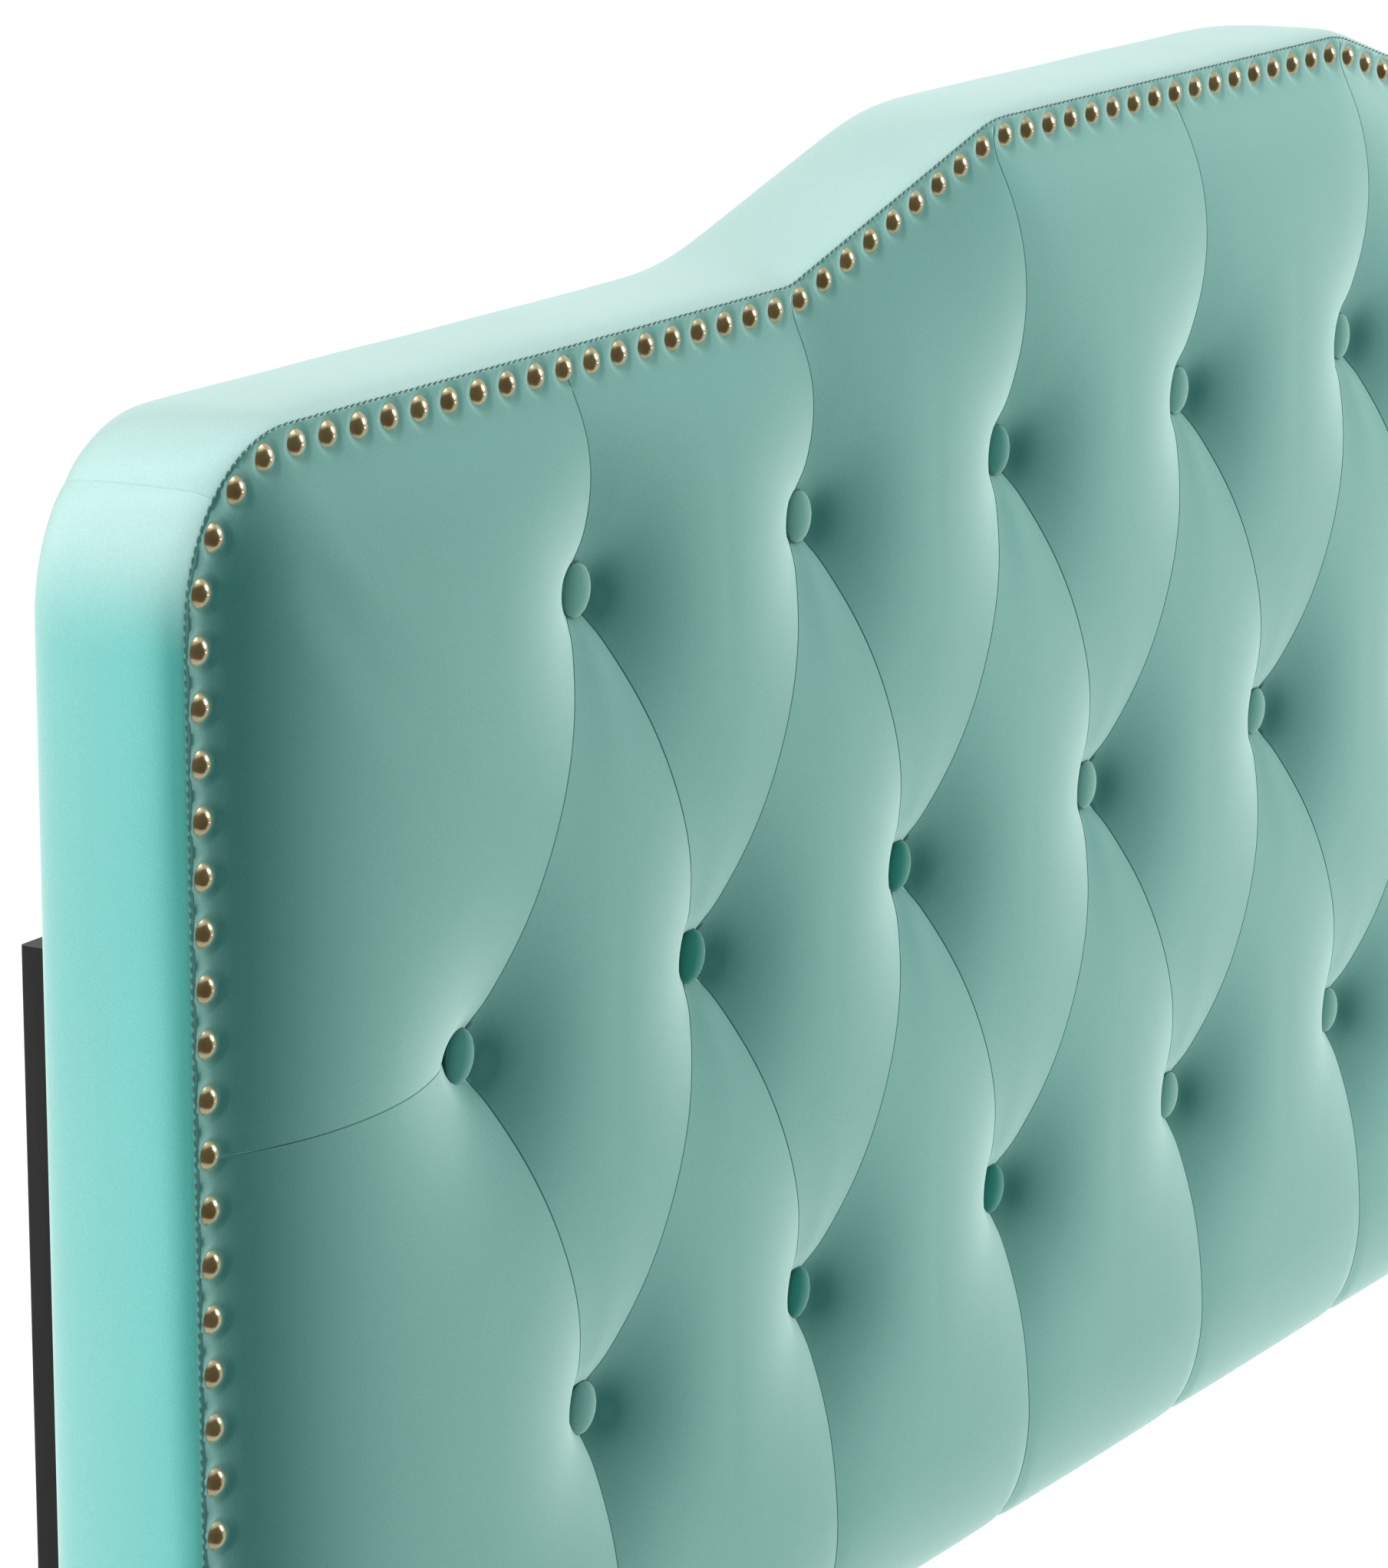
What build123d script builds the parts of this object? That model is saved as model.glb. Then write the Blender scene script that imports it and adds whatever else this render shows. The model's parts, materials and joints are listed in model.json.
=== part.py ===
from build123d import *
import os
from math import atan2, tan

# Upholstered headboard: a diamond tufted panel with nailhead trim, standing on two legs that set its height.
# Millimetres, +Z up, the front faces -Y. The origin is on the floor, in the middle of the overall box.

# Panel outline
panel_width = 1574
shoulder_height = 582
crown_rise = 48
crown_width = 350
ramp_run = 175
corner_radius = 70
ramp_foot_radius = 30
ramp_head_radius = 90
bottom_corner_radius = 8
floor_clearance = 590

# Layers of the panel, from the front seam to the back
cover_thickness = 1.5
nail_strip_thickness = 10.5
board_thickness = 9
frame_depth = 43
dust_cover_thickness = 1
wadding_thickness = 5.5
nail_strip_width = 22
soft_gap = 0.3

# Tufting: pillows between the buttons, and pleats that run out to the border
button_pitch = 175
row_pitch = 165
row_drop = 97
tuft_depth = 24
crest_fullness = 4.5
pleat_rise = 18.8
pleat_fullness = 2.6
pleat_lift = 11
pleat_run = 50
roll_radius = 39
roll_headroom = 2
least_button_margin = 120
tuft_tip_share = 0.06
row_steps = 4

# Buttons and their ties
button_diameter = 22.5
button_rim = 1.6
button_dome = 2.4
twine_diameter = 2.4
twine_hole_diameter = 6
toggle_diameter = 16
toggle_thickness = 2
knot_diameter = 7
knot_length = 3

# Nailhead trim
nail_diameter = 11.2
nail_dome = 3.2
nail_shank_diameter = 1.6
nail_shank_length = 10
nail_pitch = 20.6
nail_inset = 11
nail_end_margin = 14

# Frame sections
stile_width = 75
rail_width = 60
rail_joint_setback = 20
inner_stile_width = 45
corner_block_size = 40
corner_block_depth = 30

# Closed back
dust_cover_margin = 6
staple_inset = 12
staple_width = 10
staple_wire = 1
staple_leg = 6
staple_pitch = 75

# Legs and height adjustment
leg_width = 70
leg_thickness = 20
leg_inset = 16
leg_overlap = 388
leg_edge_radius = 2
bolt_diameter = 8
bolt_spacing = 160
first_bolt_height = 45
height_travel = 150
slot_clearance = 0.5
press_gap = 0.05
bolt_head_diameter = 14
bolt_head_height = 4.4
bolt_socket_size = 5
bolt_socket_depth = 2.5
insert_diameter = 12
insert_length = 20
washer_diameter = 20
washer_thickness = 1.6
spring_washer_diameter = 14
spring_washer_thickness = 2
spring_washer_split = 1.5

# Bed frame slots and feet
frame_slot_width = 9
frame_slot_length = 50
frame_slot_spacing = 100
frame_slot_height = 255
glide_diameter = 24
glide_thickness = 5
glide_pin_diameter = 4
glide_pin_length = 15

# Heights
z_bottom = floor_clearance
z_shoulder = z_bottom + shoulder_height
z_crown = z_shoulder + crown_rise
z_top_row = z_shoulder - row_drop
z_middle_row = z_top_row - row_pitch
z_bottom_row = z_middle_row - row_pitch

# Depths: the overall box is centred on y = 0
cover_rise = tuft_depth + soft_gap + cover_thickness
bolt_stack = washer_thickness + spring_washer_thickness + bolt_head_height
board_setback = cover_thickness + nail_strip_thickness
panel_depth = board_setback + board_thickness + frame_depth + dust_cover_thickness
overall_depth = cover_rise + panel_depth + leg_thickness + bolt_stack
y_seam = cover_rise - overall_depth / 2
y_strip = y_seam + cover_thickness
y_board = y_strip + nail_strip_thickness
y_frame = y_board + board_thickness
y_dust = y_frame + frame_depth
y_back = y_dust + dust_cover_thickness
y_leg_back = y_back + leg_thickness
y_spring_washer = y_leg_back + washer_thickness
y_bolt_head = y_spring_washer + spring_washer_thickness
y_button = y_seam - soft_gap - cover_thickness

# Steps inwards from the outer face of the boxing strips
half_width = panel_width / 2
frame_inset = cover_thickness + wadding_thickness
strip_end_inset = frame_inset + nail_strip_width
pad_inset = strip_end_inset + soft_gap
rail_end_inset = frame_inset + rail_width
x_stile_outer = half_width - frame_inset
x_stile_inner = x_stile_outer - stile_width
z_frame_foot = z_bottom + cover_thickness
z_bottom_rail_top = z_frame_foot + rail_width
z_stile_top = z_shoulder - rail_end_inset

# The ramp between shoulder and crown, and the middle of the rounded corner
half_crown = crown_width / 2
ramp_angle = atan2(crown_rise, ramp_run)
ramp_turn = tan(ramp_angle / 2)
x_ramp_foot = half_crown + ramp_run
x_corner = half_width - corner_radius
z_corner = z_shoulder - corner_radius

# Button columns: the middle row stands half a pitch off the other two
half_columns = int((half_width - least_button_margin) / button_pitch + 0.5)
long_row = [(i - half_columns + 0.5) * button_pitch for i in range(2 * half_columns)]
short_row = [(i - half_columns + 1) * button_pitch for i in range(2 * half_columns - 1)]
button_rows = {
    "buttons_top_row": [(x, z_top_row) for x in short_row],
    "buttons_middle_row": [(x, z_middle_row) for x in long_row],
    "buttons_bottom_row": [(x, z_bottom_row) for x in short_row],
}
tuft_places = [place for row in button_rows.values() for place in row]
pocket_diameter = button_diameter + 2 * soft_gap
pocket_lining = cover_thickness + soft_gap

# Inner stiles stand a quarter pitch off a button column, clear of the ties
x_centre_stile = 0.75 * button_pitch
x_inner_stile = 2.25 * button_pitch

# Legs
x_leg = half_width - leg_inset - leg_width / 2
z_leg_top = z_bottom + leg_overlap
z_low_bolt = z_bottom + first_bolt_height
bolt_places = [(side * x_leg, z_low_bolt + step) for side in (-1, 1) for step in (0, bolt_spacing)]
bolt_hole_diameter = bolt_diameter + 2 * slot_clearance
bolt_reach = dust_cover_thickness + leg_thickness + washer_thickness + spring_washer_thickness
bolt_length = insert_length + bolt_reach

os.makedirs("parts", exist_ok=True)


def upright(y):
    """Upright plane at depth y: its x is X, its y is Z and it extrudes towards the front."""
    return Plane.XZ.offset(-y)


def save(piece, name):
    """Label one piece and write it to its own file."""
    piece.part.label = name
    export_step(piece.part, f"parts/{name}.step")


def outline_points(inset, foot):
    """Corners of the panel outline, drawn in by inset at the sides and top and by foot at the bottom."""
    half = half_width - inset
    slope = inset * ramp_turn
    left = [
        (-half, z_bottom + foot),
        (-half, z_shoulder - inset),
        (slope - x_ramp_foot, z_shoulder - inset),
        (slope - half_crown, z_crown - inset),
    ]
    return left + [(-x, z) for x, z in reversed(left)]


def outline_radii(inset, foot):
    """Corner radii that keep a drawn-in outline parallel to the panel outline."""
    least = cover_thickness
    left = [
        max(bottom_corner_radius - foot, least),
        max(corner_radius - inset, least),
        ramp_foot_radius + inset,
        max(ramp_head_radius - inset, least),
    ]
    return left + left[::-1]


def panel_face(inset, foot, mode=Mode.ADD):
    """Face of the drawn-in panel outline, in the sketch that is being made."""
    with BuildLine() as rim:
        FilletPolyline(*outline_points(inset, foot), radius=outline_radii(inset, foot), close=True)
    make_face(rim.edges(), mode=mode)


def border_ring(outer_inset, inner_inset, foot):
    """Strip along the sides and top of the panel between two insets, open at the bottom."""
    panel_face(outer_inset, foot)
    panel_face(inner_inset, -rail_width, mode=Mode.SUBTRACT)


def keep_window(x_low, x_high, z_low, z_high):
    """Keep only what lies between two x and two z values."""
    with Locations(((x_low + x_high) / 2, (z_low + z_high) / 2)):
        Rectangle(x_high - x_low, z_high - z_low, mode=Mode.INTERSECT)


def keep_sector(sector):
    """Keep the left, top or right run of a border ring, parted by a diagonal at each rounded corner."""
    far = 2 * corner_radius
    diagonal = [(-x_corner, z_corner), (-x_corner - far, z_corner + far)]
    if sector == "top":
        points = diagonal + [(-x, z) for x, z in reversed(diagonal)]
        points.insert(2, (0, z_crown + far))
    else:
        points = diagonal + [(-half_width - far, z_bottom - far), (-x_corner, z_bottom - far)]
    if sector == "right":
        points = [(-x, z) for x, z in points]
    with BuildLine() as limit:
        Polyline(*points, close=True)
    make_face(limit.edges(), mode=Mode.INTERSECT)


def border_path(inset, end_margin):
    """Open path parallel to the panel outline, up the left side, over the crown and down the right side."""
    points = outline_points(inset, end_margin)
    radii = outline_radii(inset, end_margin)[1:-1]
    with BuildLine() as path:
        FilletPolyline(*points, radius=radii)
    return path.wires()[0]


def evenly(path, pitch):
    """Points and directions along a path, as near to one pitch apart as an even division allows."""
    count = round(path.length / pitch)
    return [(path @ (i / count), path % (i / count)) for i in range(count + 1)]


def sector_of(x, z):
    """Name of the border run that a point on the outline belongs to."""
    if abs(x) - x_corner > z - z_corner:
        return "left" if x < 0 else "right"
    return "top"


def rods(places, diameter, y_front, y_rear, mode=Mode.ADD):
    """Round rods, or holes, that run along Y at each of the places."""
    with BuildSketch(upright(y_rear)) as ends:
        with Locations(*places):
            Circle(diameter / 2)
    extrude(ends.sketch, amount=y_rear - y_front, mode=mode)


def draw_tufted_section(share, lift, rise, y_rear):
    """Outline of the pad at one height: flat rear, square ends and one arc for each pillow.

    The share is the height's distance from the middle row over the row pitch. Pillows and pleats both fall
    off towards the buttons, and neighbouring pillows meet on the straight lines between buttons.
    """
    y_crest = y_seam - rise
    y_tuft = y_crest + tuft_depth
    pleat = y_tuft - pleat_rise * (1 - abs(2 * share - 1) ** pleat_fullness) - lift
    long_top = y_crest + tuft_depth * (1 - share) ** crest_fullness
    short_top = y_crest + tuft_depth * share**crest_fullness - lift
    side_top = y_crest + (tuft_depth - pleat_lift) * (1 - share) ** crest_fullness
    reach = button_pitch / 2 * share
    outer = long_row[0]
    side = [(-half_width, y_rear), (-half_width, side_top), (outer - pleat_run, side_top), (outer, long_top)]
    Polyline(*side)
    Polyline(*[(-x, y) for x, y in side])
    Line(side[0], (half_width, y_rear))
    for sign in (-1, 1):
        half_way = (sign * (outer + reach / 2), long_top + (pleat - long_top) / 4)
        ThreePointArc((sign * outer, long_top), half_way, (sign * (outer + reach), pleat))
    for x in long_row[1:-1]:
        ThreePointArc((x - reach, pleat), (x, long_top), (x + reach, pleat))
    reach = button_pitch / 2 * (1 - share)
    for x in short_row:
        ThreePointArc((x - reach, pleat), (x, short_top), (x + reach, pleat))


def tufted_solid(rise, inset, foot, y_rear, pocket, pocket_floor):
    """Tufted pad with rolled edges and a round pocket at each button.

    Its front stands rise above the seam plane, and the field is lofted straight from one height to the next.
    """
    step = (1 - 2 * tuft_tip_share) / row_steps
    shares = [tuft_tip_share + step * i for i in range(row_steps + 1)]
    full = shares[-1]
    under = [(z_bottom - rise, full, pleat_lift), (z_bottom_row - pleat_run, full, pleat_lift)]
    lower = [(z_middle_row - share * row_pitch, share, 0) for share in reversed(shares)]
    upper = [(z_middle_row + share * row_pitch, share, 0) for share in shares]
    over = [(z_top_row + pleat_run, full, pleat_lift), (z_crown + rise, full, pleat_lift)]
    with BuildPart() as field:
        for z, share, lift in under + lower + upper + over:
            with BuildSketch(Plane.XY.offset(z)):
                with BuildLine():
                    draw_tufted_section(share, lift, rise, y_rear)
                make_face()
        loft(ruled=True)
    roll = min(roll_radius, corner_radius - inset - soft_gap, ramp_head_radius - inset - soft_gap)
    y_front = y_seam - rise - roll_headroom
    with BuildPart() as pad:
        with BuildSketch(upright(y_front)):
            panel_face(inset, foot)
        extrude(amount=-max(2 * roll, y_rear - y_front))
        fillet(pad.faces().sort_by(Axis.Y)[0].edges(), radius=roll)
        add(field.part, mode=Mode.INTERSECT)
        rods(tuft_places, pocket, y_front, y_seam - pocket_floor, mode=Mode.SUBTRACT)
    return pad.part


def foam_and_cover():
    """Foam pad and the velvet cover stretched over it, which share the tufted form."""
    lined_pocket = pocket_diameter + 2 * cover_thickness
    foam_pocket = lined_pocket + 2 * soft_gap
    with BuildPart() as foam_pad:
        add(tufted_solid(tuft_depth, pad_inset, cover_thickness + soft_gap, y_board, foam_pocket, 0))
        rods(tuft_places, twine_hole_diameter, y_seam, y_board, mode=Mode.SUBTRACT)
    save(foam_pad, "foam_pad")
    cover_inset = strip_end_inset - cover_thickness
    with BuildPart() as front_cover:
        add(tufted_solid(cover_rise, cover_inset, 0, y_strip, pocket_diameter, pocket_lining))
        with BuildSketch(upright(y_strip)):
            panel_face(cover_thickness, 0)
        extrude(amount=cover_thickness)
        hollow_rise = tuft_depth + soft_gap
        add(
            tufted_solid(hollow_rise, strip_end_inset, cover_thickness, y_strip, lined_pocket, soft_gap),
            mode=Mode.SUBTRACT,
        )
        rods(tuft_places, twine_diameter + 2 * soft_gap, y_button, y_seam, mode=Mode.SUBTRACT)
    save(front_cover, "front_cover")


def boxing_bands():
    """Velvet strips round the panel's edge, each turned in a little way over the back."""
    for name, sector in (("side_band_left", "left"), ("top_band", "top"), ("side_band_right", "right")):
        with BuildPart() as band:
            with BuildSketch(upright(y_back)):
                border_ring(0, cover_thickness, 0)
                keep_sector(sector)
            extrude(amount=panel_depth)
            with BuildSketch(upright(y_back)):
                border_ring(cover_thickness, dust_cover_margin, 0)
                keep_sector(sector)
            extrude(amount=dust_cover_thickness)
        save(band, name)
    with BuildPart() as bottom_band:
        x_end = half_width - cover_thickness
        with BuildSketch(upright(y_back)):
            panel_face(0, 0)
            keep_window(-x_end, x_end, z_bottom, z_bottom + cover_thickness)
        extrude(amount=y_back - y_strip)
    save(bottom_band, "bottom_band")


def edge_layers():
    """Wadding under the boxing strips, and the wood strips that take the nails."""
    with BuildPart() as edge_wadding:
        with BuildSketch(upright(y_dust)):
            border_ring(cover_thickness, frame_inset, cover_thickness)
        extrude(amount=y_dust - y_strip)
    save(edge_wadding, "edge_wadding")
    for sector in ("left", "top", "right"):
        with BuildPart() as nail_strip:
            with BuildSketch(upright(y_board)):
                border_ring(frame_inset, strip_end_inset, cover_thickness)
                keep_sector(sector)
            extrude(amount=nail_strip_thickness)
        save(nail_strip, f"nail_strip_{sector}")


def backing():
    """Plywood board behind the foam, drilled for the ties."""
    with BuildPart() as backing_board:
        with BuildSketch(upright(y_frame)):
            panel_face(frame_inset, cover_thickness)
        extrude(amount=board_thickness)
        rods(tuft_places, twine_hole_diameter, y_board, y_frame, mode=Mode.SUBTRACT)
    save(backing_board, "backing_board")


def frame_uprights():
    """Outer stiles drilled for the threaded inserts, and inner stiles between the bottom and top rails."""
    for name, side in (("stile_left", -1), ("stile_right", 1)):
        x_low, x_high = sorted((side * x_stile_inner, side * x_stile_outer))
        with BuildPart() as stile:
            with BuildSketch(upright(y_dust)):
                panel_face(frame_inset, cover_thickness)
                keep_window(x_low, x_high, z_frame_foot, z_stile_top)
            extrude(amount=frame_depth)
            own_bolts = [place for place in bolt_places if place[0] * side > 0]
            hole_diameter = insert_diameter + 2 * press_gap
            rods(own_bolts, hole_diameter, y_dust - insert_length, y_dust, mode=Mode.SUBTRACT)
        save(stile, name)
    inner_stiles = {
        "inner_stile_left": -x_inner_stile,
        "centre_stile_left": -x_centre_stile,
        "centre_stile_right": x_centre_stile,
        "inner_stile_right": x_inner_stile,
    }
    for name, x in inner_stiles.items():
        with BuildPart() as stile:
            with BuildSketch(upright(y_dust)):
                panel_face(rail_end_inset, rail_width)
                keep_window(x - inner_stile_width / 2, x + inner_stile_width / 2, z_bottom_rail_top, z_crown)
            extrude(amount=frame_depth)
        save(stile, name)


def frame_rails():
    """Bottom rail, and the five rails that follow the panel's top."""
    with BuildPart() as bottom_rail:
        with BuildSketch(upright(y_dust)):
            panel_face(frame_inset, cover_thickness)
            keep_window(-x_stile_inner, x_stile_inner, z_frame_foot, z_bottom_rail_top)
        extrude(amount=frame_depth)
    save(bottom_rail, "bottom_rail")
    x_foot_joint = x_ramp_foot + rail_joint_setback
    x_head_joint = half_crown - rail_joint_setback
    spans = {
        "shoulder_rail_left": (-half_width, -x_foot_joint),
        "ramp_rail_left": (-x_foot_joint, -x_head_joint),
        "crown_rail": (-x_head_joint, x_head_joint),
        "ramp_rail_right": (x_head_joint, x_foot_joint),
        "shoulder_rail_right": (x_foot_joint, half_width),
    }
    for name, (x_low, x_high) in spans.items():
        with BuildPart() as rail:
            with BuildSketch(upright(y_dust)):
                border_ring(frame_inset, rail_end_inset, cover_thickness)
                keep_window(x_low, x_high, z_stile_top, z_crown)
            extrude(amount=frame_depth)
        save(rail, name)


def corner_blocks():
    """Glue blocks in the four corners between the outer stiles and the rails."""
    with BuildPart() as blocks:
        with BuildSketch(upright(y_frame + corner_block_depth)):
            for side in (-1, 1):
                for z, rise in ((z_bottom_rail_top, corner_block_size), (z_stile_top, -corner_block_size)):
                    x = side * x_stile_inner
                    with BuildLine():
                        Polyline((x, z), (x - side * corner_block_size, z), (x, z + rise), close=True)
                    make_face()
        extrude(amount=corner_block_depth)
    save(blocks, "corner_blocks")


def buttons():
    """Covered buttons, the ties that draw them in, and the toggles behind the board."""
    with BuildPart() as button:
        with BuildSketch():
            with BuildLine():
                apex = (0, -button_rim - button_dome)
                TangentArc(apex, (button_diameter / 2, -button_rim), tangent=(1, 0))
                Polyline((button_diameter / 2, -button_rim), (button_diameter / 2, 0), (0, 0), apex)
            make_face()
        revolve(axis=Axis.Y)
    for name, places in button_rows.items():
        with BuildPart() as row:
            with Locations(*[(x, y_button, z) for x, z in places]):
                add(button.part)
        save(row, name)
    y_toggle_rear = y_frame + toggle_thickness
    with BuildPart() as button_twine:
        rods(tuft_places, twine_diameter, y_button, y_toggle_rear)
        rods(tuft_places, knot_diameter, y_toggle_rear, y_toggle_rear + knot_length)
    save(button_twine, "button_twine")
    with BuildPart() as twine_toggles:
        rods(tuft_places, toggle_diameter, y_frame, y_toggle_rear)
        rods(tuft_places, twine_diameter + 2 * soft_gap, y_frame, y_toggle_rear, mode=Mode.SUBTRACT)
    save(twine_toggles, "twine_toggles")


def nailheads():
    """Domed nails along the sides and top, driven through the cover into the nail strips."""
    with BuildPart() as nail:
        with BuildSketch():
            with BuildLine():
                TangentArc((0, -nail_dome), (nail_diameter / 2, 0), tangent=(1, 0))
                Polyline(
                    (nail_diameter / 2, 0),
                    (nail_shank_diameter / 2, 0),
                    (nail_shank_diameter / 2, nail_shank_length),
                    (0, nail_shank_length),
                    (0, -nail_dome),
                )
            make_face()
        revolve(axis=Axis.Y)
    trail = [point for point, _ in evenly(border_path(nail_inset, nail_end_margin), nail_pitch)]
    for sector in ("left", "top", "right"):
        with BuildPart() as nails:
            with Locations(*[(p.X, y_seam, p.Y) for p in trail if sector_of(p.X, p.Y) == sector]):
                add(nail.part)
        save(nails, f"nailheads_{sector}")


def closed_back():
    """Dust cover over the open back, and the staples that hold its edge to the frame."""
    with BuildPart() as dust_cover:
        with BuildSketch(upright(y_back)):
            panel_face(dust_cover_margin, cover_thickness)
        extrude(amount=dust_cover_thickness)
        rods(bolt_places, bolt_hole_diameter, y_dust, y_back, mode=Mode.SUBTRACT)
    save(dust_cover, "dust_cover")
    with BuildPart() as staple:
        Box(staple_width, staple_wire, staple_wire, align=(Align.CENTER, Align.MIN, Align.CENTER))
        leg_offset = (staple_width - staple_wire) / 2
        with Locations((-leg_offset, 0, 0), (leg_offset, 0, 0)):
            Box(staple_wire, staple_leg, staple_wire, align=(Align.CENTER, Align.MAX, Align.CENTER))
    seats = [(p.X, p.Y, d) for p, d in evenly(border_path(staple_inset, 2 * staple_pitch), staple_pitch)]
    bottom_half = x_leg - leg_width
    bottom_count = round(2 * bottom_half / staple_pitch)
    for i in range(bottom_count + 1):
        x = bottom_half * (2 * i / bottom_count - 1)
        seats.append((x, z_bottom + staple_inset, Vector(1, 0, 0)))
    turned = [Location((x, y_back, z), (0, -Vector(1, 0, 0).get_signed_angle(d), 0)) for x, z, d in seats]
    with BuildPart() as dust_cover_staples:
        with Locations(*turned):
            add(staple.part)
    save(dust_cover_staples, "dust_cover_staples")


def legs():
    """Two legs with a long slot for the panel's bolts and two short slots for the bed frame."""
    slot_mid = z_low_bolt + (bolt_spacing + height_travel) / 2
    for name, glide_name, side in (("leg_left", "foot_glide_left", -1), ("leg_right", "foot_glide_right", 1)):
        x = side * x_leg
        with BuildPart() as leg:
            with BuildSketch(Plane.XY.offset(glide_thickness)):
                with Locations((x, y_back + leg_thickness / 2)):
                    RectangleRounded(leg_width, leg_thickness, leg_edge_radius)
            extrude(amount=z_leg_top - glide_thickness)
            with BuildSketch(upright(y_leg_back)):
                with Locations((x, slot_mid)):
                    SlotCenterToCenter(bolt_spacing + height_travel, bolt_hole_diameter, rotation=90)
                with Locations((x, frame_slot_height)):
                    with GridLocations(0, frame_slot_spacing, 1, 2):
                        SlotOverall(frame_slot_length, frame_slot_width, rotation=90)
            extrude(amount=leg_thickness, mode=Mode.SUBTRACT)
            with BuildSketch(Plane.XY.offset(glide_thickness)):
                with Locations((x, y_back + leg_thickness / 2)):
                    Circle(glide_pin_diameter / 2 + press_gap)
            extrude(amount=glide_pin_length, mode=Mode.SUBTRACT)
        save(leg, name)
        with BuildPart() as glide:
            with BuildSketch():
                with Locations((x, y_back + leg_thickness / 2)):
                    Circle(min(glide_diameter, leg_thickness) / 2)
            extrude(amount=glide_thickness)
            with BuildSketch(Plane.XY.offset(glide_thickness)):
                with Locations((x, y_back + leg_thickness / 2)):
                    Circle(glide_pin_diameter / 2)
            extrude(amount=glide_pin_length)
        save(glide, glide_name)


def leg_fasteners():
    """Threaded inserts in the stiles, and the bolts and washers that clamp the legs to the panel."""
    y_insert = y_dust - insert_length
    with BuildPart() as leg_inserts:
        rods(bolt_places, insert_diameter, y_insert, y_dust)
        rods(bolt_places, bolt_diameter + 2 * press_gap, y_insert, y_dust, mode=Mode.SUBTRACT)
    save(leg_inserts, "leg_inserts")
    with BuildPart() as leg_washers:
        rods(bolt_places, washer_diameter, y_leg_back, y_spring_washer)
        rods(bolt_places, bolt_hole_diameter, y_leg_back, y_spring_washer, mode=Mode.SUBTRACT)
    save(leg_washers, "leg_washers")
    with BuildPart() as leg_spring_washers:
        rods(bolt_places, spring_washer_diameter, y_spring_washer, y_bolt_head)
        rods(bolt_places, bolt_hole_diameter, y_spring_washer, y_bolt_head, mode=Mode.SUBTRACT)
        with BuildSketch(upright(y_bolt_head)):
            with Locations(*[(x, z + spring_washer_diameter / 2) for x, z in bolt_places]):
                Rectangle(spring_washer_split, spring_washer_diameter)
        extrude(amount=spring_washer_thickness, mode=Mode.SUBTRACT)
    save(leg_spring_washers, "leg_spring_washers")
    with BuildPart() as leg_bolts:
        rods(bolt_places, bolt_diameter, y_bolt_head - bolt_length, y_bolt_head)
        rods(bolt_places, bolt_head_diameter, y_bolt_head, y_bolt_head + bolt_head_height)
        fillet(leg_bolts.faces().group_by(Axis.Y)[-1].edges(), radius=bolt_head_height / 2)
        with BuildSketch(upright(y_bolt_head + bolt_head_height)):
            with Locations(*bolt_places):
                RegularPolygon(bolt_socket_size / 2, 6, major_radius=False)
        extrude(amount=bolt_socket_depth, mode=Mode.SUBTRACT)
    save(leg_bolts, "leg_bolts")


foam_and_cover()
boxing_bands()
edge_layers()
backing()
frame_uprights()
frame_rails()
corner_blocks()
buttons()
nailheads()
closed_back()
legs()
leg_fasteners()
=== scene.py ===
import json
import math
import random

import bmesh
import bpy
import numpy as np
from mathutils import Matrix, Vector, geometry


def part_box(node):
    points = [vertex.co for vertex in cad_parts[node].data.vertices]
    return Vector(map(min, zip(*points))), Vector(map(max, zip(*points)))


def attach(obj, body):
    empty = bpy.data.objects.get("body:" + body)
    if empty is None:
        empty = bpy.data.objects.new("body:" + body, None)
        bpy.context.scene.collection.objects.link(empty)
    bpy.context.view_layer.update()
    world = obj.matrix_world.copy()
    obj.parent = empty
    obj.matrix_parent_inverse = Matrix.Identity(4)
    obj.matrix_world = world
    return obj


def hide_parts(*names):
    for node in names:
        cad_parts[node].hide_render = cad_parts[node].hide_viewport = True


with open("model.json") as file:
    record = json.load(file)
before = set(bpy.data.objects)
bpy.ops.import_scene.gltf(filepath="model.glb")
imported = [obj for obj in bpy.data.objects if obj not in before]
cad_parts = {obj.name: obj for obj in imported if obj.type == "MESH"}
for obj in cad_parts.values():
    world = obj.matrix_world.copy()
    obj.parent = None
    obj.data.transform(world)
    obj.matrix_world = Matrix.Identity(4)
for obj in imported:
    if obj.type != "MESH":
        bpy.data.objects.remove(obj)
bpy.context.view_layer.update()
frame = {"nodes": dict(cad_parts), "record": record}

random.seed(7)
MM = 0.001

# Places read from the frame
rows = {name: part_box(name) for name in ("buttons_top_row", "buttons_middle_row", "buttons_bottom_row")}
BUTTON_SEAT = 1.8 * MM
BUTTON_Y = rows["buttons_top_row"][1][1]
SEAM_Y = BUTTON_Y + BUTTON_SEAT
STRIP_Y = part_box("nail_strip_left")[0][1]
BOARD_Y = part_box("backing_board")[0][1]
BACK_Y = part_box("dust_cover")[1][1]
HALF_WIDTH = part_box("side_band_right")[1][0]
BOTTOM_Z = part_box("bottom_band")[0][2]
CROWN_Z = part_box("top_band")[1][2]

# Panel outline
CROWN_RISE = 48 * MM
SHOULDER_Z = CROWN_Z - CROWN_RISE
HALF_CROWN = 175 * MM
RAMP_RUN = 175 * MM
CORNER_RADIUS = 70 * MM
RAMP_FOOT_RADIUS = 30 * MM
RAMP_HEAD_RADIUS = 90 * MM
BOTTOM_CORNER_RADIUS = 8 * MM
TRIM_ARC_STEP = 6 * MM
NO_RUN_STEP = 10

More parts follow.
